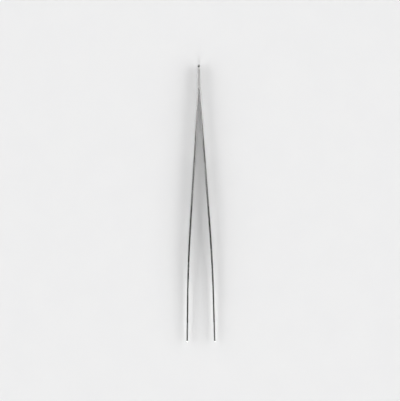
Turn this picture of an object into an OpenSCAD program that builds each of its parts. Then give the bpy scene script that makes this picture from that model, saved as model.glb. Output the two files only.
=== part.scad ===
// Straight planting tweezers: two arms of spring steel, spot welded together at the heel.
// The tweezers lie on their side: the jaws open along X, +Y points from the points to the heel,
// and Z runs across the width of the arms. A station s is the distance from the end of the heel.

/* [Overall] */
// Length from the end of the heel to the points
total_length = 270; // [230:1:330]
// Clear gap between the jaws at the points, arms at rest
tip_gap = 25; // [18:0.5:34]

/* [Heel] */
// Length over which the two arms lie together
heel_length = 24.5; // [20:0.5:35]
// Width of the heel in front of its round end
heel_width = 9; // [7:0.1:12]
// Steel thickness of one arm at the end of the heel
heel_thickness = 1.1; // [0.9:0.05:1.6]
// Steel thickness of one arm at the crotch, where the arms part
crotch_thickness = 1.7; // [1.4:0.05:2.2]
// Number of spot welds along the heel
weld_count = 2; // [1:1:2]
// Distance from weld to weld
weld_pitch = 8; // [5:0.5:10]
// Diameter of a weld's fused core
weld_diameter = 4; // [2:0.1:4.6]
// Depth of the fused core in each arm
weld_depth = 0.45; // [0.2:0.05:0.6]
// Depth of the dimple that the electrode leaves outside
weld_dimple = 0.12; // [0.05:0.01:0.2]

/* [Spring] */
// Length from the crotch to where the arm reaches its full width
spring_length = 35.5; // [25:0.5:45]
// Length from the crotch to where the arm reaches its full thickness
swell_length = 70; // [55:1:75]
// Depth of the relief that thins the spring stretch on its inner face
spring_relief = 0.5; // [0.1:0.05:0.6]
// Length of the round run-in from the crotch to that relief
relief_length = 3; // [1:0.5:6]
// Length of the bend that turns each arm outward in front of the crotch
heel_bend_length = 10; // [6:1:16]
// Clearance of the cross cut at the crotch, about which the free arm swings
flex_clearance = 0.12; // [0.1:0.01:0.3]

/* [Grip] */
// Length of the grip, from the full width to the start of the taper
grip_length = 80; // [60:1:90]
// Width of the arm along the grip
grip_width = 10.5; // [8:0.1:14]
// Steel thickness along the grip
grip_thickness = 2.1; // [1.4:0.05:2.4]
// Number of flutes across the outer face
flute_count = 26; // [5:1:30]
// Distance from flute to flute
flute_pitch = 1.6; // [1.3:0.05:1.9]
// Depth of a flute
flute_depth = 0.22; // [0.1:0.01:0.3]
// Radius of the cutter that leaves a flute
flute_radius = 0.7; // [0.5:0.05:0.8]
// Distance from the last flute to the start of the taper
flute_margin = 3; // [1:0.5:8]

/* [Jaws] */
// Length of the shoulder, the bend back towards the other arm
shoulder_length = 75; // [40:1:80]
// Length of the straight stretch in front of the shoulder
point_length = 40; // [30:1:50]
// Angle of the jaws away from the centre plane, arms at rest
jaw_angle = 1; // [0:0.1:1.5]
// Width of a jaw at its point
tip_width = 2.4; // [1.6:0.1:4]
// Steel thickness at the point
tip_thickness = 1.7; // [1:0.05:1.8]
// Length of the serrated jaw face
jaw_length = 18; // [8:1:30]
// Distance from tooth to tooth
tooth_pitch = 1; // [0.8:0.05:1.5]
// Depth of the gullets between the teeth
tooth_depth = 0.3; // [0.1:0.05:0.4]
// Flat land on top of each tooth
tooth_land = 0.2; // [0.1:0.05:0.3]

/* [Edges] */
// Rounding of the outer edges
outer_edge_radius = 0.3; // [0.2:0.05:0.6]
// Rounding of the inner edges of the free arms and round the heel's end
inner_edge_radius = 0.15; // [0.1:0.05:0.4]
// Rounding of the long seam edges, where the two heels lie together
seam_edge_radius = 0.08; // [0.04:0.01:0.15]

/* [Hidden] */
steel = "silver";
weld_steel = "gray";
// Places of the first gullet in its pitch, half a pitch apart so that the teeth mesh
left_gullet = 0.75;
right_gullet = 0.25;

$fn = 48;
// Facets in each rounded edge, and in half of a round end
edge_steps = 3;
round_steps = 9;
// Longest step between two stations of a loft
station_step = 5;
// Share of its radius that a round end reaches before its last facet
round_share = 0.995;
// Share of the thickness, and of the way to the middle line, that an edge rounding may take
edge_share = 0.45;
// How far a cutter reaches past the face that it cuts
past = 1;

mid_height = max(grip_width, heel_width) / 2;
cut_height = 2 * mid_height + 2 * past;
heel_radius = heel_width / 2;
tip_radius = tip_width / 2;
root_start = heel_length + flex_clearance;
relief_end = heel_length + relief_length;
heel_bend_end = heel_length + heel_bend_length;
grip_start = heel_length + spring_length;
grip_end = grip_start + grip_length;
swell_end = heel_length + swell_length;
flute_start = grip_end - flute_margin - (flute_count - 1) * flute_pitch;
shoulder_end = total_length - point_length;
shoulder_start = shoulder_end - shoulder_length;
nose_start = total_length - tip_radius;
tooth_count = floor(jaw_length / tooth_pitch);
jaw_start = nose_start - tooth_count * tooth_pitch;
weld_start = (heel_length - (weld_count - 1) * weld_pitch) / 2;
spring_thickness = crotch_thickness - spring_relief;
heel_slope = (crotch_thickness - heel_thickness) / heel_length;
jaw_slope = tan(jaw_angle);

// Slope of the straight stretch: the one that brings the jaws to the tip gap
arm_slope =
    (tip_gap / 2 + tip_thickness - crotch_thickness
        - heel_slope * heel_bend_length / 2
        - jaw_slope * (shoulder_length / 2 + point_length))
    / (shoulder_start - heel_bend_end + heel_bend_length / 2 + shoulder_length / 2);

// Distances of the outer face from the centre plane where its bends end or start
outer_at_heel_bend =
    crotch_thickness + bend(heel_bend_length, heel_bend_length, heel_slope, arm_slope);
outer_at_shoulder = outer_at_heel_bend + arm_slope * (shoulder_start - heel_bend_end);
outer_at_jaw = outer_at_shoulder + bend(shoulder_length, shoulder_length, arm_slope, jaw_slope);

// Smooth step from 0 to 1 as s goes from one station to another
function ease(s, from, to) =
    let (u = min(max((s - from) / (to - from), 0), 1))
    u * u * (3 - 2 * u);

// Offset gained by going d along a bend from one slope to another
function bend(d, length, from, to) = from * d + (to - from) * d * d / (2 * length);

// Place of a station along Y
function along(s) = total_length / 2 - s;

// Distance of the outer face from the centre plane
function outer_face(s) =
    s <= heel_length ? heel_thickness + heel_slope * s :
    s <= heel_bend_end ?
        crotch_thickness + bend(s - heel_length, heel_bend_length, heel_slope, arm_slope) :
    s <= shoulder_start ? outer_at_heel_bend + arm_slope * (s - heel_bend_end) :
    s <= shoulder_end ?
        outer_at_shoulder + bend(s - shoulder_start, shoulder_length, arm_slope, jaw_slope) :
    outer_at_jaw + jaw_slope * (s - shoulder_end);

// Depth of the relief on the inner face: a quarter round, then level
function relief(s) =
    spring_relief * sqrt(1 - pow(max(1 - (s - heel_length) / relief_length, 0), 2));

// Steel thickness of one arm
function thickness(s) =
    s <= heel_length ? heel_thickness + heel_slope * s :
    s <= swell_end ?
        crotch_thickness - relief(s)
            + (grip_thickness - spring_thickness) * ease(s, heel_bend_end, swell_end) :
    grip_thickness + (tip_thickness - grip_thickness) * ease(s, grip_end, nose_start);

// Distance of the inner face from the centre plane
function inner_face(s) = outer_face(s) - thickness(s);

// Width of an arm without the rounding of its ends
function width(s) =
    s <= grip_start ? heel_width + (grip_width - heel_width) * ease(s, heel_radius, grip_start) :
    grip_width + (tip_width - grip_width) * ease(s, grip_end, nose_start);

// Distance of a station past the centre of the round heel or of the round point
function past_centre(s) = round_share * max(heel_radius - s, s - nose_start, 0);

// Half of the width that is left at a station, an inset in from the outline
function half_width(s, inset) = sqrt(pow(width(s) / 2 - inset, 2) - pow(past_centre(s), 2));

// Rounding of the inner edges: close to sharp along the seam, fuller at the heel's end and on
// the free arm
function inner_radius(s) =
    seam_edge_radius
        + (inner_edge_radius - seam_edge_radius)
            * (1 - ease(s, 0, heel_radius) + ease(s, heel_length, heel_bend_end));

// Rounded edge at a station, from the face to the side, each point as its depth under the face
// and its half width; a round end leaves less room for it and cuts it short
function edge(s, radius) =
    let (
        room = edge_share * (width(s) / 2 - past_centre(s)),
        turn = acos(max(1 - room / radius, 0))
    )
    [for (i = [edge_steps : -1 : 0])
        let (a = turn * i / edge_steps)
        [radius * (1 - sin(a)), half_width(s, radius * (1 - cos(a)))]];

// Ring of points round the steel at a station
function ring(s) =
    let (
        most = edge_share * thickness(s),
        outer = edge(s, min(outer_edge_radius, most)),
        inner = edge(s, min(inner_radius(s), most)),
        upper = concat(
            [for (p = outer) [outer_face(s) - p.x, p.y]],
            [for (i = [edge_steps : -1 : 0]) [inner_face(s) + inner[i].x, inner[i].y]]
        ),
        last = len(upper) - 1
    )
    concat(
        [for (p = upper) [p.x, along(s), mid_height + p.y]],
        [for (i = [last : -1 : 0]) [upper[i].x, along(s), mid_height - upper[i].y]]
    );

// Stations from one place up to, and without, another
function stations(from, to) =
    let (count = ceil((to - from) / station_step))
    [for (i = [0 : count - 1]) from + (to - from) * i / count];

weld_stations = [for (i = [0 : weld_count - 1]) weld_start + i * weld_pitch];

// Share of the way along a round stretch at each of its stations
round_shares = [for (i = [0 : round_steps]) sin(90 * i / round_steps)];

tang_stations = concat(
    [for (i = [round_steps : -1 : 0]) heel_radius * (1 - round_shares[i])],
    [heel_length]
);
arm_stations = concat(
    [for (i = [round_steps : -1 : 1]) relief_end - (relief_end - root_start) * round_shares[i]],
    stations(relief_end, grip_start),
    stations(grip_start, grip_end),
    stations(grip_end, nose_start),
    [for (share = round_shares) nose_start + tip_radius * share]
);

// Strip of steel lofted through the rings at a list of stations
module strip(places) {
    n = 4 * (edge_steps + 1);
    last = (len(places) - 1) * n;
    skin = [for (k = [0 : n : last - n], j = [0 : n - 1])
        let (a = k + j, b = k + (j + 1) % n)
        each [[a, b + n, b], [a, a + n, b + n]]];
    caps = [for (j = [1 : n - 2])
        each [[0, j, j + 1], [last, last + j + 1, last + j]]];
    polyhedron([for (s = places) each ring(s)], concat(skin, caps));
}

// Fused cores of the spot welds, across the seam
module weld_cores() {
    for (s = weld_stations)
        translate([0, along(s), mid_height])
            rotate([0, 90, 0])
                cylinder(h = 2 * weld_depth, d = weld_diameter, center = true);
}

// Shallow ball-shaped dimples outside the spot welds
module weld_dimples() {
    ball_radius = (pow(weld_diameter / 2, 2) + pow(weld_dimple, 2)) / (2 * weld_dimple);
    for (s = weld_stations)
        translate([outer_face(s) - weld_dimple + ball_radius, along(s), mid_height])
            sphere(ball_radius);
}

// Row of round-bottomed flutes across the outer face of the grip
module grip_flutes() {
    for (i = [0 : flute_count - 1]) {
        s = flute_start + i * flute_pitch;
        translate([outer_face(s) - flute_depth + flute_radius, along(s), -past])
            cylinder(h = cut_height, r = flute_radius);
    }
}

// Row of V-shaped gullets across the inner face of a jaw, the first one part of a pitch along it
module jaw_gullets(first) {
    half = (tooth_pitch - tooth_land) / 2;
    mouth = half * (1 + past / tooth_depth);
    for (i = [0 : tooth_count - 1]) {
        s = jaw_start + (i + first) * tooth_pitch;
        translate([inner_face(s), along(s), -past])
            linear_extrude(cut_height)
                polygon([[tooth_depth, 0], [-past, mouth], [-past, -mouth]]);
    }
}

// Rear stretch of an arm, which is welded to the other one
module tang() {
    difference() {
        strip(tang_stations);
        weld_cores();
        weld_dimples();
    }
}

// Free stretch of an arm, from the crotch to its point
module arm(first_gullet) {
    difference() {
        strip(arm_stations);
        grip_flutes();
        jaw_gullets(first_gullet);
    }
}

module left_tang() {
    color(steel) mirror([1, 0, 0]) tang();
}

module right_tang() {
    color(steel) tang();
}

module spot_welds() {
    color(weld_steel) weld_cores();
}

module left_arm() {
    color(steel) mirror([1, 0, 0]) arm(left_gullet);
}

module right_arm() {
    color(steel) arm(right_gullet);
}

left_tang();
right_tang();
spot_welds();
left_arm();
right_arm();
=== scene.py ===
"""Straight planting tweezers of spring steel: their finished surfaces and the studio round them.

The tweezers lie on their side. The jaws open along X, +Y points from the points to the heel, and
Z runs across the width of the arms. Sizes of the steel are in millimetres, and MM turns them into
the metres of the frame. A station is a distance along the arms from the end of the heel.
"""

import logging
import math
from dataclasses import dataclass, field
from enum import Enum

import bpy
import numpy as np
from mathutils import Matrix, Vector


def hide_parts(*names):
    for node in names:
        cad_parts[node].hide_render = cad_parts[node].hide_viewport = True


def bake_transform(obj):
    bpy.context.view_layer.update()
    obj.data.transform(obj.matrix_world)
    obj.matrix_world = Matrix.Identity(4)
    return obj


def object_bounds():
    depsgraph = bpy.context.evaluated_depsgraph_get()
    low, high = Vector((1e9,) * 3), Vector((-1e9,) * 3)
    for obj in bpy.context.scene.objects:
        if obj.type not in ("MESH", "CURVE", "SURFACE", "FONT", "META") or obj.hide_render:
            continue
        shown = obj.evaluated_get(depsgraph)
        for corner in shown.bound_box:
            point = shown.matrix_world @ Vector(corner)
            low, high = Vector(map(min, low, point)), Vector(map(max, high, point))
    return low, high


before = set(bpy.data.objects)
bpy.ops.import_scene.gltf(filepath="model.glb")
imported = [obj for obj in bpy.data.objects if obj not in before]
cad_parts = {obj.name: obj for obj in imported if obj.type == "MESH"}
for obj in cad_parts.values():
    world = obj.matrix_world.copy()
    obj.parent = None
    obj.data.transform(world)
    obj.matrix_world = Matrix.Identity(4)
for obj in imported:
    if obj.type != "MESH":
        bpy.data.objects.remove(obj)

CAD_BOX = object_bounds()
LOG = logging.getLogger("tweezers")
MM = 0.001
QUARTER_TURN = math.pi / 2
MIDDLE = 0.5

Floats = np.ndarray
Colour = tuple[float, float, float]
Point = tuple[float, float, float]


class Side(Enum):
    """Which arm of the pair, by the sign of X on its side of the centre plane."""

    LEFT = -1
    RIGHT = 1

    @property
    def label(self) -> str:
        """Give the side's name as the frame's bodies and nodes write it."""
        return self.name.lower()


class Mark(Enum):
    """What is kept at each point of an arm's mesh for its finish to read."""

    PLACE = "strip_place"
    EDGE = "edge_wear"
    GROOVE = "groove_depth"
    INNER = "inner_face"
    WELD = "weld_heat"


def ease(place: Floats, start: float, end: float) -> Floats:
    """Step smoothly from 0 to 1.

    Args:
        place: Places along a line.
        start: Place where the step starts.
        end: Place where the step ends.

    Returns:
        The height of the step at each place.
    """
    share = np.clip((place - start) / (end - start), 0.0, 1.0)
    return share * share * (3.0 - 2.0 * share)


def bend(run: Floats, length: float, start: float, end: float) -> Floats:
    """Follow a bend from one slope to another.

    Args:
        run: Distances along the bend.
        length: Length of the bend.
        start: Slope where the bend starts.
        end: Slope where the bend ends.

    Returns:
        The offset gained at each distance; past the bend it goes on at the end slope.
    """
    inside = np.clip(run, 0.0, length)
    turned = start * inside + (end - start) * inside**2 / (2.0 * length)
    return turned + end * (run - inside)


def edge_drop(inset: Floats, radius: Floats | float) -> Floats:
    """Give the drop of a rounded edge at distances in from the edge."""
    return radius - np.sqrt(radius**2 - np.clip(radius - inset, 0.0, radius) ** 2)


def spread(start: float, end: float, step: float) -> Floats:
    """Space places evenly between two ends, both included, no further apart than a step."""
    return np.linspace(start, end, math.ceil((end - start) / step) + 1)


class Value:
    """One output of a node, which takes part in sums with numbers and other values."""

    def __init__(self, paint: "Paint", socket: bpy.types.NodeSocket) -> None:
        """Keep the output and the node tree that it is in."""
        self.paint = paint
        self.socket = socket

    def __add__(self, other: "Value | float") -> "Value":
        """Add a value or a number."""
        return self.paint.math("ADD", self, other)

    def __sub__(self, other: "Value | float") -> "Value":
        """Take a value or a number away."""
        return self.paint.math("SUBTRACT", self, other)

    def __rsub__(self, other: float) -> "Value":
        """Take this value away from a number."""
        return self.paint.math("SUBTRACT", other, self)

    def __mul__(self, other: "Value | float") -> "Value":
        """Multiply by a value or a number."""
        return self.paint.math("MULTIPLY", self, other)

    __radd__ = __add__
    __rmul__ = __mul__

    def pick(self, name: str) -> "Value":
        """Give another output of the same node."""
        return Value(self.paint, self.socket.node.outputs[name])

    def between(self, low: float, high: float) -> "Value":
        """Step smoothly from 0 to 1.

        Args:
            low: Value where the step starts.
            high: Value where the step ends.

        Returns:
            The height of the step.
        """
        return self.paint.add(
            "ShaderNodeMapRange",
            {"interpolation_type": "SMOOTHSTEP"},
            {"Value": self, "From Min": low, "From Max": high},
        )


class Paint:
    """Node tree of a material or of the world, which expressions fill."""

    def __init__(self, tree: bpy.types.NodeTree) -> None:
        """Empty the node tree and keep it."""
        tree.nodes.clear()
        self.tree = tree

    def add(
        self,
        kind: str,
        settings: dict[str, object] | None = None,
        inputs: dict[str | int, object] | None = None,
    ) -> Value | None:
        """Add a node.

        Args:
            kind: Type of the node.
            settings: Properties of the node, which are set first.
            inputs: Values or links of its sockets, by their names or numbers.

        Returns:
            The node's first output in use, or None where it has none.
        """
        node = self.tree.nodes.new(kind)
        for name, setting in (settings or {}).items():
            setattr(node, name, setting)
        in_use = {socket.name: socket for socket in node.inputs if socket.enabled}
        for name, value in (inputs or {}).items():
            socket = node.inputs[name] if isinstance(name, int) else in_use[name]
            if isinstance(value, Value):
                self.tree.links.new(value.socket, socket)
            else:
                socket.default_value = value
        return next((Value(self, socket) for socket in node.outputs if socket.enabled), None)

    def math(self, operation: str, first: Value | float, second: Value | float) -> Value:
        """Add a Math node for one operation on two values."""
        return self.add("ShaderNodeMath", {"operation": operation}, {0: first, 1: second})

    def mark(self, mark: Mark, output: str = "Fac") -> Value:
        """Read what an arm's mesh keeps at its points."""
        return self.add("ShaderNodeAttribute", {"attribute_name": mark.value}).pick(output)

    def mix(self, share: Value, first: Value | Colour, second: Value | Colour) -> Value:
        """Mix two colours.

        Args:
            share: Share of the second colour.
            first: Colour or link where the share is 0.
            second: Colour or link where the share is 1.

        Returns:
            The mixed colour.
        """
        ends = [end if isinstance(end, Value) else (*end, 1.0) for end in (first, second)]
        sockets = {"Factor": share, "A": ends[0], "B": ends[1]}
        return self.add("ShaderNodeMix", {"data_type": "RGBA"}, sockets)

    def dot(self, first: Value, second: Point) -> Value:
        """Give the dot product of a link and a vector."""
        product = {"operation": "DOT_PRODUCT"}
        return self.add("ShaderNodeVectorMath", product, {0: first, 1: second})

    def millimetres(self) -> Value:
        """Read the places on a piece in its own coordinates.

        Returns:
            The places, in millimetres.
        """
        place = self.add("ShaderNodeTexCoord").pick("Object")
        scale = {0: place, "Scale": 1.0 / MM}
        return self.add("ShaderNodeVectorMath", {"operation": "SCALE"}, scale)

    def noise(self, place: Value, scale: Point, detail: float, turn: float) -> Value:
        """Add noise, drawn out by a scale of its own along each axis.

        Args:
            place: Coordinates to draw the noise over.
            scale: Cells in a unit of length along each axis.
            detail: Number of finer layers.
            turn: Angle that the noise is turned by about the second axis.

        Returns:
            The noise, from 0 to 1 about the middle.
        """
        turned = self.add(
            "ShaderNodeMapping",
            {"vector_type": "TEXTURE"},
            {"Vector": place, "Rotation": (0.0, turn, 0.0)},
        )
        drawn = self.add("ShaderNodeVectorMath", {"operation": "MULTIPLY"}, {0: turned, 1: scale})
        return self.add("ShaderNodeTexNoise", {}, {"Vector": drawn, "Scale": 1.0, "Detail": detail})

    def finish(self, inputs: dict[str, object]) -> None:
        """Add the shader of a material, with what its sockets get, and its output."""
        shader = self.add("ShaderNodeBsdfPrincipled", {}, inputs)
        self.add("ShaderNodeOutputMaterial", {}, {"Surface": shader})


def start_material(name: str) -> tuple[bpy.types.Material, Paint]:
    """Make a new material.

    Args:
        name: Name of the material.

    Returns:
        The material and its empty node tree.
    """
    material = bpy.data.materials.new(name)
    material.use_nodes = True
    return material, Paint(material.node_tree)


@dataclass(frozen=True)
class Layer:
    """One layer of noise in a finish: its cells in a millimetre, its detail and what it changes.

    The roughness follows the noise itself, and the colour a step between its two limits.
    """

    scale: Point
    detail: float
    roughness: float
    limits: tuple[float, float] = (0.0, 1.0)

    def draw(self, paint: Paint, place: Value, turn: float = 0.0) -> Value:
        """Draw the layer over coordinates, turned by an angle about the second axis."""
        return paint.noise(place, self.scale, self.detail, turn)


@dataclass(frozen=True)
class SatinSteel:
    """Spring steel brushed along its length and worn bright at the edges; the grooves are rougher
    and darkened with painted shade.
    """

    name: str = "satin_steel"
    steel: Colour = (0.71, 0.71, 0.70)
    shade: Colour = (0.61, 0.61, 0.61)
    bright: Colour = (0.80, 0.80, 0.79)
    # Painted shade for the flutes and gullets, mixed in where they are cut
    groove: Colour = (0.30, 0.30, 0.295)
    straw: Colour = (0.56, 0.47, 0.34)

    grain: Layer = Layer((0.04, 11.0, 11.0), 2.0, 0.16)
    streaks: Layer = Layer((0.010, 2.4, 2.4), 3.0, 0.20, (0.35, 0.65))
    clouds: Layer = Layer((0.05, 0.12, 0.12), 3.0, 0.10, (0.45, 0.75))
    scratches: Layer = Layer((0.05, 5.0, 5.0), 1.0, 0.06, (0.70, 0.76))
    scratch_turns: tuple[float, ...] = (math.radians(9.0), math.radians(-14.0))

    cloud_share: float = 0.35
    wear_share: float = 0.70
    straw_share: float = 0.22
    groove_shade_share: float = 0.75

    roughness: float = 0.21
    groove_roughness: float = 0.16
    inner_roughness: float = 0.05
    weld_roughness: float = 0.12
    edge_polish: float = 0.10

    bump_depth: float = 0.004
    bump_strength: float = 0.6
    scratch_depth: float = 0.5
    weld_pitting: float = 0.6

    def make(self) -> bpy.types.Material:
        """Build the material.

        Returns:
            The material, which reads the marks of an arm's mesh.
        """
        material, paint = start_material(self.name)
        place = paint.mark(Mark.PLACE, "Vector")
        edge, groove, inner, weld = (
            paint.mark(mark) for mark in (Mark.EDGE, Mark.GROOVE, Mark.INNER, Mark.WELD)
        )
        flat = (1.0 - edge) * (1.0 - groove)
        grain, streaks, clouds = (
            layer.draw(paint, place) for layer in (self.grain, self.streaks, self.clouds)
        )
        scratches = sum(
            self.scratches.draw(paint, place, turn).between(*self.scratches.limits)
            for turn in self.scratch_turns
        )

        brushed = paint.mix(streaks.between(*self.streaks.limits) * flat, self.steel, self.shade)
        lighter = clouds.between(*self.clouds.limits) * self.cloud_share
        clouded = paint.mix(lighter, brushed, self.bright)
        worn = paint.mix(edge * self.wear_share, clouded, self.bright)
        tinted = paint.mix(weld * self.straw_share, worn, self.straw)
        # Painted shade: the flutes and gullets are darkened towards the groove colour
        colour = paint.mix(groove * self.groove_shade_share, tinted, self.groove)

        brush = sum(
            (noise - MIDDLE) * layer.roughness
            for noise, layer in (
                (grain, self.grain), (streaks, self.streaks), (clouds, self.clouds)
            )
        )
        matt = groove * self.groove_roughness + inner * self.inner_roughness
        matt = matt + weld * self.weld_roughness + scratches * self.scratches.roughness
        roughness = self.roughness + brush * flat + matt - edge * self.edge_polish

        height = (grain - scratches * self.scratch_depth) * flat + weld * clouds * self.weld_pitting
        normal = paint.add(
            "ShaderNodeBump",
            {},
            {"Strength": self.bump_strength, "Distance": self.bump_depth * MM, "Height": height},
        )
        paint.finish(
            {"Base Color": colour, "Metallic": 1.0, "Roughness": roughness, "Normal": normal}
        )
        return material


@dataclass(frozen=True)
class WeldSteel:
    """Fused steel in the cores of the spot welds, grey and mottled."""

    name: str = "weld_steel"
    cool: Colour = (0.45, 0.45, 0.44)
    burnt: Colour = (0.30, 0.26, 0.22)
    mottle: Layer = Layer((0.9, 0.9, 0.9), 4.0, 0.3, (0.4, 0.7))
    roughness: float = 0.5

    def make(self) -> bpy.types.Material:
        """Build the material.

        Returns:
            The material, which is mottled in the frame's own coordinates.
        """
        material, paint = start_material(self.name)
        mottle = self.mottle.draw(paint, paint.millimetres())
        colour = paint.mix(mottle.between(*self.mottle.limits), self.cool, self.burnt)
        roughness = self.roughness + (mottle - MIDDLE) * self.mottle.roughness
        paint.finish({"Base Color": colour, "Metallic": 1.0, "Roughness": roughness})
        return material


@dataclass(frozen=True)
class PaleBoard:
    """Matt pale board that the tweezers lie on."""

    name: str = "pale_board"
    light: Colour = (0.86, 0.86, 0.86)
    dark: Colour = (0.84, 0.84, 0.845)
    fibres: Layer = Layer((0.03, 0.03, 0.03), 4.0, 0.1)
    roughness: float = 0.85
    sheen: float = 0.2

    def make(self) -> bpy.types.Material:
        """Build the material.

        Returns:
            The material, with a faint cloudiness.
        """
        material, paint = start_material(self.name)
        fibres = self.fibres.draw(paint, paint.millimetres())
        colour = paint.mix(fibres.between(*self.fibres.limits), self.light, self.dark)
        roughness = self.roughness + (fibres - MIDDLE) * self.fibres.roughness
        paint.finish(
            {"Base Color": colour, "Roughness": roughness, "Specular IOR Level": self.sheen}
        )
        return material


@dataclass(frozen=True)
class Rings:
    """Rings of points round a strip of steel, with a row for each station.

    Each point has its distance across from the centre plane, its height over the middle of the
    width, the wear of the edge there, and how far inward it lies: 0 on the outer face and 1 on
    the inner one.
    """

    station: Floats
    across: Floats
    height: Floats
    wear: Floats
    inward: Floats


@dataclass
class SpringArm:
    """One arm from the heel to its point, in one strip: tang, spring, fluted grip, serrated jaw.

    Its sizes are those of the solids. Its two flex stations are given, but nothing here bends it.
    """

    side: Side
    finish: bpy.types.Material

    total_length: float = 270.0
    tip_gap: float = 25.0
    mid_height: float = 5.25

    heel_length: float = 24.5
    heel_width: float = 9.0
    heel_thickness: float = 1.1
    crotch_thickness: float = 1.7
    weld_stations: tuple[float, ...] = (8.25, 16.25)
    weld_radius: float = 2.0
    weld_dimple: float = 0.12
    weld_reach: float = 1.3
    heat_middle: float = 0.9
    heat_spread: float = 0.42

    spring_length: float = 35.5
    swell_length: float = 70.0
    spring_relief: float = 0.5
    relief_length: float = 3.0
    heel_bend_length: float = 10.0
    flex_start: float = 22.5
    flex_end: float = 44.5

    grip_length: float = 80.0
    grip_width: float = 10.5
    grip_thickness: float = 2.1
    flute_count: int = 26
    flute_pitch: float = 1.6
    flute_depth: float = 0.22
    flute_radius: float = 0.7
    flute_margin: float = 3.0

    shoulder_length: float = 75.0
    point_length: float = 40.0
    jaw_slope: float = math.tan(math.radians(1.0))
    tip_width: float = 2.4
    tip_thickness: float = 1.7
    tooth_count: int = 18
    tooth_pitch: float = 1.0
    tooth_depth: float = 0.3
    tooth_land: float = 0.2
    first_gullet: dict[Side, float] = field(
        default_factory=lambda: {Side.LEFT: 0.75, Side.RIGHT: 0.25}
    )

    outer_edge_radius: float = 0.3
    inner_edge_radius: float = 0.15
    seam_edge_radius: float = 0.08
    edge_share: float = 0.45
    round_share: float = 0.998
    rim_softness: float = 0.03
    sharp_angle: float = math.radians(28.0)

    # How finely the mesh follows the steel
    edge_cells: int = 8
    outer_cells: int = 32
    inner_cells: int = 10
    rim_cells: int = 3
    round_rings: int = 25
    flute_rings: int = 13
    flute_reach: float = 1.2
    gullet_rings: int = 5
    coarse_step: float = 2.0
    fine_step: float = 0.25
    least_step: float = 0.002

    def __post_init__(self) -> None:
        """Work out the stations and slopes that the other sizes give."""
        self.heel_radius = self.heel_width / 2
        self.tip_radius = self.tip_width / 2
        self.heel_bend_end = self.heel_length + self.heel_bend_length
        self.relief_end = self.heel_length + self.relief_length
        self.grip_start = self.heel_length + self.spring_length
        self.grip_end = self.grip_start + self.grip_length
        self.swell_end = self.heel_length + self.swell_length
        self.shoulder_start = self.total_length - self.point_length - self.shoulder_length
        self.nose_start = self.total_length - self.tip_radius
        self.jaw_start = self.nose_start - self.tooth_count * self.tooth_pitch
        self.heel_slope = (self.crotch_thickness - self.heel_thickness) / self.heel_length
        jaw_rise = self.jaw_slope * (self.shoulder_length / 2 + self.point_length)
        heel_rise = self.heel_slope * self.heel_bend_length / 2
        rise = self.tip_gap / 2 + self.tip_thickness - self.crotch_thickness
        run = self.shoulder_start - self.heel_bend_end
        run += (self.heel_bend_length + self.shoulder_length) / 2
        self.arm_slope = (rise - heel_rise - jaw_rise) / run
        last_flute = self.grip_end - self.flute_margin
        self.flutes = last_flute - np.arange(self.flute_count)[::-1] * self.flute_pitch
        self.gullet_half = (self.tooth_pitch - self.tooth_land) / 2
        teeth = np.arange(self.tooth_count) + self.first_gullet[self.side]
        self.gullets = self.jaw_start + teeth * self.tooth_pitch

    def outer_face(self, station: Floats) -> Floats:
        """Follow the outer face along the strip.

        Args:
            station: Stations along the strip.

        Returns:
            The distance of the face from the centre plane at each station.
        """
        heel = self.heel_thickness + self.heel_slope * np.minimum(station, self.heel_length)
        swung = bend(
            np.clip(station, self.heel_length, self.shoulder_start) - self.heel_length,
            self.heel_bend_length, self.heel_slope, self.arm_slope,
        )
        back = bend(
            np.maximum(station, self.shoulder_start) - self.shoulder_start,
            self.shoulder_length, self.arm_slope, self.jaw_slope,
        )
        return heel + swung + back

    def thickness(self, station: Floats) -> Floats:
        """Follow the thickness of the steel along the strip.

        Args:
            station: Stations along the strip.

        Returns:
            The thickness at each station.
        """
        heel = self.heel_thickness + self.heel_slope * np.minimum(station, self.heel_length)
        run_in = np.clip(1.0 - (station - self.heel_length) / self.relief_length, 0.0, 1.0)
        relief = self.spring_relief * np.sqrt(1.0 - run_in**2)
        spring_thickness = self.crotch_thickness - self.spring_relief
        swell = self.grip_thickness - spring_thickness
        taper = self.tip_thickness - self.grip_thickness
        thicker = swell * ease(station, self.heel_bend_end, self.swell_end)
        return heel - relief + thicker + taper * ease(station, self.grip_end, self.nose_start)

    def half_width(self, station: Floats) -> Floats:
        """Follow the width along the strip.

        Args:
            station: Stations along the strip.

        Returns:
            Half the width at each station, and the radius of the round ends past their middles.
        """
        flare = self.heel_radius - self.grip_width / 2
        taper = self.grip_width / 2 - self.tip_radius
        widened = self.heel_radius - flare * ease(station, self.heel_radius, self.grip_start)
        return widened - taper * ease(station, self.grip_end, self.nose_start)

    def past_middle(self, station: Floats) -> Floats:
        """Give how far a station lies past the middle of the round heel or of the round point."""
        past = np.maximum(self.heel_radius - station, station - self.nose_start)
        return self.round_share * np.maximum(past, 0.0)

    def inner_edge(self, station: Floats) -> Floats:
        """Follow the rounding of the inner edges, which are close to sharp along the seam.

        Args:
            station: Stations along the strip.

        Returns:
            The radius of the rounding at each station.
        """
        end = 1.0 - ease(station, 0.0, self.heel_radius)
        fuller = end + ease(station, self.heel_length, self.heel_bend_end)
        return self.seam_edge_radius + (self.inner_edge_radius - self.seam_edge_radius) * fuller

    def flute_cut(self, station: Floats) -> Floats:
        """Cut the flutes across the outer face, their rims a little softened.

        Args:
            station: Stations along the strip.

        Returns:
            The depth of the cut at each station.
        """
        off = np.abs(station[:, None] - self.flutes).min(axis=1)
        arc = np.sqrt(np.clip(self.flute_radius**2 - off**2, 0.0, None))
        cut = arc - (self.flute_radius - self.flute_depth)
        return (cut + np.sqrt(cut**2 + self.rim_softness**2)) / 2

    def gullet_cut(self, station: Floats) -> Floats:
        """Give the depth of the V-shaped gullets between the teeth."""
        off = np.abs(station[:, None] - self.gullets).min(axis=1)
        return self.tooth_depth * np.clip(1.0 - off / self.gullet_half, 0.0, 1.0)

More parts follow.
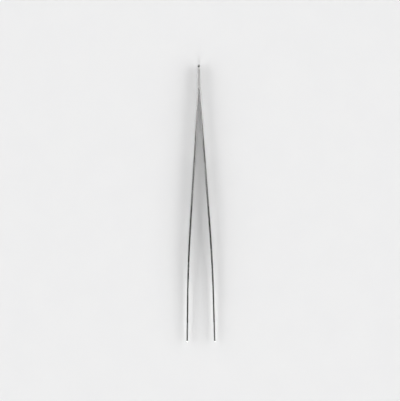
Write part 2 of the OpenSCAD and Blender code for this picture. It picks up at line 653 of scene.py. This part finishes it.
    def weld_share(self, station: Floats, height: Floats) -> Floats:
        """Give the distance from the nearest weld's middle, in weld radii."""
        away = [np.hypot(station - place, height) for place in self.weld_stations]
        return np.minimum.reduce(away) / self.weld_radius

    def stations(self) -> Floats:
        """Choose the stations of the rings, close together where the steel is cut or round.

        Returns:
            The stations from the end of the heel to the end of the point.
        """
        turn = np.linspace(0.0, QUARTER_TURN, self.round_rings)
        depth_left = self.flute_radius - self.flute_depth
        flute_half = math.sqrt(self.flute_radius**2 - depth_left**2)
        flute = np.linspace(-self.flute_reach, self.flute_reach, self.flute_rings) * flute_half
        gullet = np.linspace(-1.0, 1.0, self.gullet_rings) * self.gullet_half
        weld = self.weld_radius * self.weld_reach
        places = [
            self.heel_radius * (1.0 - np.cos(turn)),
            *(spread(place - weld, place + weld, self.fine_step) for place in self.weld_stations),
            spread(self.heel_radius, self.heel_length, self.coarse_step),
            spread(self.heel_length, self.relief_end, self.fine_step),
            spread(self.relief_end, self.flutes[0], self.coarse_step),
            (self.flutes[:, None] + flute).ravel(),
            spread(self.flutes[-1], self.jaw_start, self.coarse_step),
            (self.gullets[:, None] + gullet).ravel(),
            self.nose_start + self.tip_radius * np.sin(turn),
        ]
        ordered = np.unique(np.clip(np.concatenate(places), 0.0, self.total_length))
        apart = np.concatenate([[True], np.diff(ordered) > self.least_step])
        return ordered[apart]

    def section(self, station: Floats) -> Rings:
        """Lay a ring of points round the steel at each station.

        Args:
            station: Stations of the rings.

        Returns:
            The rings, which start at the outer face and go round by the upper rim.
        """
        radius, past, inner_edge, outer, thickness = (
            give(station)[:, None]
            for give in (
                self.half_width, self.past_middle, self.inner_edge, self.outer_face, self.thickness
            )
        )
        lap = 1.0 - np.sin(np.linspace(0.0, QUARTER_TURN, self.edge_cells + 1))
        rim = np.linspace(0.0, 1.0, self.rim_cells + 1)[1:-1]
        most = self.edge_share * (radius - past)
        laps = [
            np.minimum(self.outer_edge_radius, most) * lap,
            np.zeros((len(station), len(rim))),
            np.minimum(inner_edge, most) * lap[::-1],
        ]
        upper = np.sqrt((radius - np.hstack(laps)) ** 2 - past**2)
        inner_run = upper[:, -1:] * np.linspace(1.0, -1.0, self.inner_cells + 1)[1:-1]
        outer_run = upper[:, :1] * np.linspace(-1.0, 1.0, self.outer_cells + 1)[1:-1]
        height = np.hstack([upper, inner_run, -upper[:, ::-1], outer_run])

        to_inner = np.concatenate([np.zeros(len(lap)), rim, np.ones(len(lap))])
        on_inner, on_outer = np.ones(self.inner_cells - 1), np.zeros(self.outer_cells - 1)
        inward = np.concatenate([to_inner, on_inner, to_inner[::-1], on_outer])
        inset = radius - np.hypot(past, height)
        outside = outer - edge_drop(inset, self.outer_edge_radius)
        inside = outer - thickness + edge_drop(inset, inner_edge)
        across = outside * (1.0 - inward) + inside * inward
        off_weld = self.weld_share(station[:, None], height)
        dimple = self.weld_dimple * np.clip(1.0 - off_weld**2, 0.0, 1.0)
        across = np.minimum(across, outer - self.flute_cut(station)[:, None] - dimple)
        across = np.maximum(across, outer - thickness + self.gullet_cut(station)[:, None])

        edge_radius = self.outer_edge_radius * (1.0 - inward) + inner_edge * inward
        depth = np.clip(inset / edge_radius, 0.0, 1.0)
        wear = 2.0 * np.sqrt(depth * (1.0 - depth))
        return Rings(station, across, height, wear, np.broadcast_to(inward, across.shape))

    def build(self) -> bpy.types.Object:
        """Build the strip as one closed mesh, with its marks.

        Returns:
            The strip, in place in the frame.
        """
        rings = self.section(self.stations())
        number, count = rings.across.shape
        along = self.total_length / 2 - np.broadcast_to(rings.station[:, None], rings.across.shape)
        points = np.stack(
            [rings.across * self.side.value, along, self.mid_height + rings.height], axis=-1
        )
        ring = np.arange(count)
        following = np.roll(ring, -1)
        starts = np.arange(number - 1)[:, None] * count
        quads = np.stack(
            [starts + ring, starts + count + ring, starts + count + following, starts + following],
            axis=-1,
        ).reshape(-1, 4)
        # The arms mirror each other, so the faces of one run the other way round
        order = -self.side.value
        faces = [tuple(quad[::order]) for quad in quads.tolist()]
        caps = [ring[::order], (number - 1) * count + ring[::-order]]
        faces += [tuple(cap.tolist()) for cap in caps]

        mesh = bpy.data.meshes.new(f"{self.side.label}_spring_arm")
        mesh.from_pydata((points.reshape(-1, 3) * MM).tolist(), [], faces)
        mesh.validate()
        self.keep_marks(mesh, rings)
        mesh.shade_smooth()
        mesh.set_sharp_from_angle(angle=self.sharp_angle)
        piece = bpy.data.objects.new(mesh.name, mesh)
        bpy.context.scene.collection.objects.link(piece)
        return piece

    def keep_marks(self, mesh: bpy.types.Mesh, rings: Rings) -> None:
        """Write the marks that the finish reads to the mesh's points.

        Args:
            mesh: Mesh of the strip.
            rings: Rings that the mesh was made from.
        """
        station = rings.station
        along = np.broadcast_to(station[:, None], rings.across.shape)
        depth = self.outer_face(station)[:, None] - rings.across
        apart = self.side.value * self.total_length
        place = np.stack([along + apart, depth, rings.height], axis=-1)
        flute = self.flute_cut(station)[:, None] / self.flute_depth
        gullet = self.gullet_cut(station)[:, None] / self.tooth_depth
        outward = 1.0 - rings.inward
        # How deep the flutes and gullets are cut; the finish makes them rougher and darkens them
        # with painted shade
        groove = np.clip(flute * outward + gullet * rings.inward, 0.0, 1.0)
        off_rim = (self.weld_share(along, rings.height) - self.heat_middle) / self.heat_spread
        heat = np.exp(-(off_rim**2)) * outward * (along < self.heel_length)
        for mark, values in {
            Mark.EDGE: rings.wear * (1.0 - groove),
            Mark.GROOVE: groove,
            Mark.INNER: rings.inward,
            Mark.WELD: heat,
        }.items():
            layer = mesh.attributes.new(mark.value, "FLOAT", "POINT")
            layer.data.foreach_set("value", values.ravel().astype(np.float32))
        layer = mesh.attributes.new(Mark.PLACE.value, "FLOAT_VECTOR", "POINT")
        layer.data.foreach_set("vector", place.ravel().astype(np.float32))

    def dress(self, piece: bpy.types.Object) -> None:
        """Give the strip its finish, bake its place into its mesh, and hide the tang and arm that
        it stands in for.

        Args:
            piece: The strip.
        """
        piece.data.materials.append(self.finish)
        tang, arm = f"{self.side.label}_tang", f"{self.side.label}_arm"
        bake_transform(piece)
        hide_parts(tang, arm)


@dataclass
class SpotWelds:
    """Fused cores that hold the two arms together at the heel."""

    finish: bpy.types.Material
    node: str = "spot_welds"

    def dress(self) -> bpy.types.Object:
        """Give the cores their finish.

        Returns:
            The cores, as the frame places them.
        """
        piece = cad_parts[self.node]
        piece.data.materials.clear()
        piece.data.materials.append(self.finish)
        return piece


@dataclass(frozen=True)
class Panel:
    """Soft-edged panel of the studio as the tweezers see it, with its angles in degrees.

    Its middle hangs over the seam between the arms, at a tilt from straight up that is positive
    towards the heel. Its ends and sides fade out between two angles from the middle.
    """

    tilt: float
    ends: tuple[float, float]
    sides: tuple[float, float]
    level: float

    def hang(self, paint: Paint, direction: Value, level: Value) -> Value:
        """Hang the panel in front of what is there.

        Args:
            paint: Node tree of the room's light.
            direction: Direction that the light comes from.
            level: Light from there without the panel.

        Returns:
            The light from there with the panel.
        """
        tilt = math.radians(self.tilt)
        across = paint.dot(direction, (1.0, 0.0, 0.0))
        along = paint.dot(direction, (0.0, math.cos(tilt), -math.sin(tilt)))
        facing = paint.dot(direction, (0.0, math.sin(tilt), math.cos(tilt)))
        shape = paint.math("GREATER_THAN", facing, 0.0)
        for offset, fade in ((along, self.ends), (across, self.sides)):
            limits = (math.sin(math.radians(angle)) ** 2 for angle in fade)
            shape = shape * (1.0 - (offset * offset).between(*limits))
        return level * (1.0 - shape) + shape * self.level


@dataclass
class Studio:
    """Pale board in a pale room, with soft panels round it and a camera straight above.

    The ceiling is dark where the camera hangs, the lamp shines between the arms from beyond the
    points, and the flag is a dark board beyond the heel. Lengths are in metres, apart from the
    width of the camera's sensor, in millimetres.
    """

    board: bpy.types.Material
    board_radius: float = 6.0
    board_sides: int = 96
    board_drop: float = 0.00002

    pale: float = 2.05
    lean: Point = (0.16, 0.0, 0.0)
    horizon: float = 0.908
    haze_top: float = 0.40
    ceiling: Panel = Panel(tilt=-25.0, ends=(29.0, 39.0), sides=(28.0, 44.0), level=0.0)
    lamp: Panel = Panel(tilt=-56.0, ends=(20.0, 26.0), sides=(2.5, 7.0), level=8.3)
    flag: Panel = Panel(tilt=54.0, ends=(24.0, 38.0), sides=(20.0, 40.0), level=0.0)

    view_width: float = 0.38805
    sensor: float = 36.0
    camera_distance: float = 1.2
    focus_height: float = 0.010
    camera_offset: tuple[float, float] = (0.00014, 0.00242)
    camera_turn: float = math.radians(-0.43)

    def lay_board(self) -> None:
        """Lay the round board just under the tweezers."""
        turns = np.linspace(0.0, math.tau, self.board_sides, endpoint=False)
        rim = [(math.cos(turn), math.sin(turn), 0.0) for turn in turns]
        points = [tuple(self.board_radius * part for part in point) for point in rim]
        mesh = bpy.data.meshes.new("board")
        mesh.from_pydata(points, [], [tuple(range(self.board_sides))])
        mesh.materials.append(self.board)
        board = bpy.data.objects.new("board", mesh)
        board.location.z = CAD_BOX[0].z - self.board_drop
        bpy.context.scene.collection.objects.link(board)

    def light_sky(self) -> None:
        """Light the room: pale walls with a haze at the horizon, and the panels."""
        world = bpy.data.worlds.new("studio")
        world.use_nodes = True
        bpy.context.scene.world = world
        paint = Paint(world.node_tree)
        direction = paint.add("ShaderNodeTexCoord").pick("Generated")
        height = paint.dot(direction, (0.0, 0.0, 1.0))
        haze = 1.0 - height.between(0.0, self.haze_top)
        walls = self.pale + paint.dot(direction, self.lean)
        level = walls * (1.0 - haze) + haze * self.horizon
        for panel in (self.ceiling, self.lamp, self.flag):
            level = panel.hang(paint, direction, level)
        shader = paint.add(
            "ShaderNodeBackground", {}, {"Color": (1.0, 1.0, 1.0, 1.0), "Strength": level}
        )
        paint.add("ShaderNodeOutputWorld", {}, {"Surface": shader})

    def place_camera(self) -> None:
        """Hang the camera straight above, a little off the middle and turned a little."""
        camera = bpy.data.cameras.new("camera")
        camera.sensor_width = self.sensor
        camera.lens = self.sensor * self.camera_distance / self.view_width
        holder = bpy.data.objects.new("camera", camera)
        holder.location = (*self.camera_offset, self.focus_height + self.camera_distance)
        holder.rotation_euler.z = self.camera_turn
        bpy.context.scene.collection.objects.link(holder)
        bpy.context.scene.camera = holder

    def set_up(self) -> None:
        """Put the whole studio round the tweezers."""
        self.lay_board()
        self.light_sky()
        self.place_camera()
        bpy.context.scene.view_settings.view_transform = "Standard"


def main() -> None:
    """Build the arms, dress the welds and set up the studio."""
    logging.basicConfig(level=logging.INFO, format="%(message)s")
    steel = SatinSteel().make()
    for side in Side:
        arm = SpringArm(side, steel)
        piece = arm.build()
        arm.dress(piece)
        LOG.info("%s: %d faces", piece.name, len(piece.data.polygons))
    welds = SpotWelds(WeldSteel().make()).dress()
    LOG.info("%s: %d faces", welds.name, len(welds.data.polygons))
    Studio(PaleBoard().make()).set_up()


if __name__ == "__main__":
    main()
